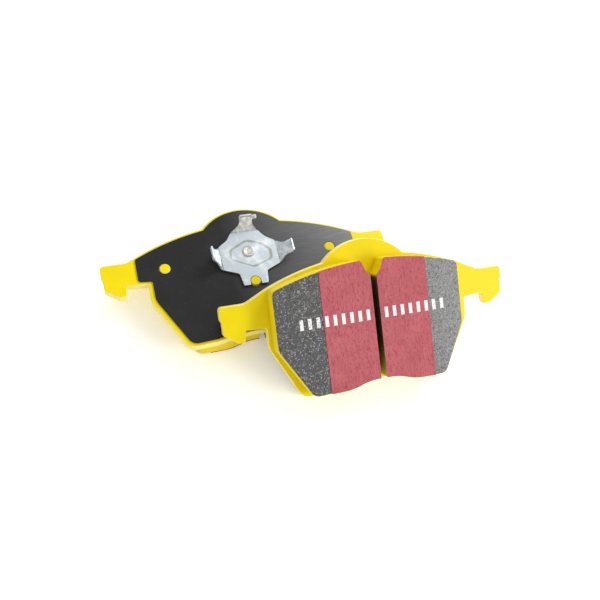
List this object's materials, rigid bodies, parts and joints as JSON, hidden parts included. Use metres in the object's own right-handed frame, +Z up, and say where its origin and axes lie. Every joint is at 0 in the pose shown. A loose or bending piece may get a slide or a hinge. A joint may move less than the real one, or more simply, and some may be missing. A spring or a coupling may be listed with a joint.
{
  "type": "disc brake pad set",
  "caption": "Pair of disc brake pads for a floating caliper: painted steel backing plates, slotted friction blocks, noise shims and a sprung piston clip.",
  "frame": {"origin": "on the floor, at the middle of the space that the laid-out set takes up", "axes": "+Z up; +X along both pads from the inner pad to the outer pad; +Y from the outer pad towards the domes' side"},
  "size_m": [0.2098, 0.1147, 0.0506],
  "materials": {
    "plate_paint": "gloss",
    "shim_rubber": "satin",
    "underlayer": "matte",
    "friction": "matte",
    "coating": "matte",
    "clip_zinc": "satin",
    "rivet": "satin"
  },
  "bodies": {
    "inner_pad": {"inner_backing_plate": "plate_paint", "inner_shim": "shim_rubber", "inner_underlayer_long": "underlayer", "inner_underlayer_short": "underlayer", "inner_friction_long": "friction", "inner_friction_short": "friction", "inner_coating_long": "coating", "inner_coating_short": "coating", "clip_base": "clip_zinc", "clip_rivet": "rivet"},
    "clip_finger_left": {"clip_finger_left": "clip_zinc"},
    "clip_finger_right": {"clip_finger_right": "clip_zinc"},
    "clip_finger_top": {"clip_finger_top": "clip_zinc"},
    "outer_pad": {"outer_backing_plate": "plate_paint", "outer_shim": "shim_rubber", "outer_underlayer_long": "underlayer", "outer_underlayer_short": "underlayer", "outer_friction_long": "friction", "outer_friction_short": "friction", "outer_coating_long": "coating", "outer_coating_short": "coating"}
  },
  "joints": [
    {"name": "outer_pad_lift", "type": "slide", "parent": "inner_pad", "child": "outer_pad", "axis": [0, 0, 1], "range_m": [0, 0.06]},
    {"name": "finger_left_flex", "type": "hinge", "parent": "inner_pad", "child": "clip_finger_left", "pos_m": [-0.0427, 0.02653, 0.0192], "axis": [0, 1, 0], "range_deg": [0, 10], "stiffness_Nm_per_rad": 0.1},
    {"name": "finger_right_flex", "type": "hinge", "parent": "inner_pad", "child": "clip_finger_right", "pos_m": [-0.0107, 0.02653, 0.0192], "axis": [0, -1, 0], "range_deg": [0, 12], "stiffness_Nm_per_rad": 0.1},
    {"name": "finger_top_flex", "type": "hinge", "parent": "inner_pad", "child": "clip_finger_top", "pos_m": [-0.0267, 0.04188, 0.0192], "axis": [1, 0, 0], "range_deg": [0, 12], "stiffness_Nm_per_rad": 0.1}
  ]
}
